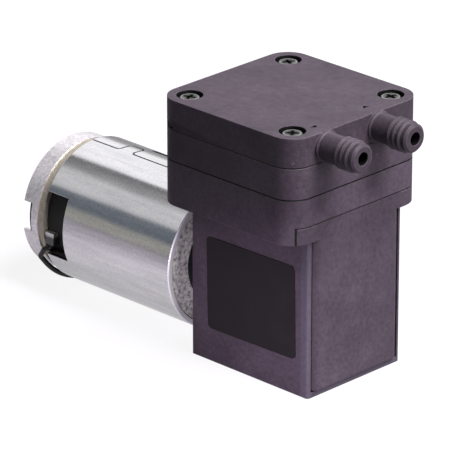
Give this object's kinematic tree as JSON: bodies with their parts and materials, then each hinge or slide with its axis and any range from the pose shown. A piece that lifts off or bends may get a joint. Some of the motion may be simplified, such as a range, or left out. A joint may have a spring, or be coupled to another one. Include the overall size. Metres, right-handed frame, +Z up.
{
  "type": "diaphragm vacuum pump",
  "caption": "Small diaphragm vacuum pump: square moulded head with two ridged hose ports on a boxy crankcase, driven by a direct-current motor lying behind it.",
  "frame": {"origin": "bottom face of the crankcase, on the pump head's vertical centreline", "axes": "+X is the way the hose ports point, opposite the motor; +Z up; +Y completes a right-handed frame, away from the label"},
  "size_m": [0.1168, 0.0468, 0.0703],
  "materials": {
    "moulding": "dark purple-grey moulded plastic, fine matte mottle",
    "screw_steel": "zinc-plated screw steel",
    "rubber": "black nitrile rubber",
    "label": "near-black printed film",
    "cast_alloy": "die-cast alloy",
    "rod_plastic": "glass-filled plastic",
    "bearing_steel": "ground bearing steel",
    "can_steel": "rough zinc-plated drawn steel, faintly yellow",
    "plated_steel": "bright zinc-plated rolled steel",
    "bell_plastic": "black moulded plastic",
    "bright_metal": "tinned brass strip",
    "brass_blade": "brass strip",
    "ferrite": "sintered ferrite",
    "lamination": "coated electrical steel",
    "copper_wire": "enamelled copper wire",
    "copper_bar": "bare copper",
    "carbon": "pressed carbon",
    "sintered_bronze": "oil-filled sintered bronze",
    "lead_jacket": "glossy black lead insulation",
    "solder": "solder"
  },
  "bodies": {
    "pump_body": {"head_cover": "moulding", "head_screws": "screw_steel", "head_gasket": "rubber", "valve_plate": "moulding", "crankcase": "moulding", "front_cover": "moulding", "label_plate": "label", "diaphragm": "rubber", "motor_can": "can_steel", "motor_screws": "screw_steel", "flux_ring": "plated_steel", "rear_band": "plated_steel", "end_bell": "bell_plastic", "brush_lugs": "bright_metal", "terminals": "brass_blade", "magnets": "ferrite", "brushes": "carbon", "brush_arms": "brass_blade", "front_bush": "sintered_bronze", "rear_bush": "sintered_bronze", "ground_lead": "lead_jacket", "solder_joint": "solder"},
    "rotor": {"motor_shaft": "bearing_steel", "armature_core": "lamination", "windings": "copper_wire", "commutator": "copper_bar", "crank_eccentric": "cast_alloy", "eccentric_set_screw": "screw_steel", "bearing_inner": "bearing_steel"},
    "rod": {"connecting_rod": "rod_plastic", "bearing_outer": "bearing_steel", "diaphragm_retainer": "cast_alloy", "retainer_screw": "screw_steel"},
    "inlet_valve": {"inlet_valve": "rubber"},
    "outlet_valve": {"outlet_valve": "rubber"}
  },
  "joints": [
    {"name": "rotor_spin", "type": "hinge", "parent": "pump_body", "child": "rotor", "pos_m": [0, 0, 0.02], "axis": [1, 0, 0], "continuous": true},
    {"name": "rod_orbit", "type": "hinge", "parent": "rotor", "child": "rod", "pos_m": [0, 0, 0.018], "axis": [1, 0, 0], "continuous": true, "deforming": ["diaphragm"]},
    {"name": "inlet_valve_lift", "type": "slide", "parent": "pump_body", "child": "inlet_valve", "axis": [0, 0, -1], "range_m": [0, 0.0006], "stiffness_N_per_m": 5, "springref_m": -0.001},
    {"name": "outlet_valve_lift", "type": "slide", "parent": "pump_body", "child": "outlet_valve", "axis": [0, 0, 1], "range_m": [0, 0.0006], "stiffness_N_per_m": 5, "springref_m": -0.001}
  ],
  "couplings": [
    {"joint": "rod_orbit", "follows": "rotor_spin", "ratio": -1}
  ]
}
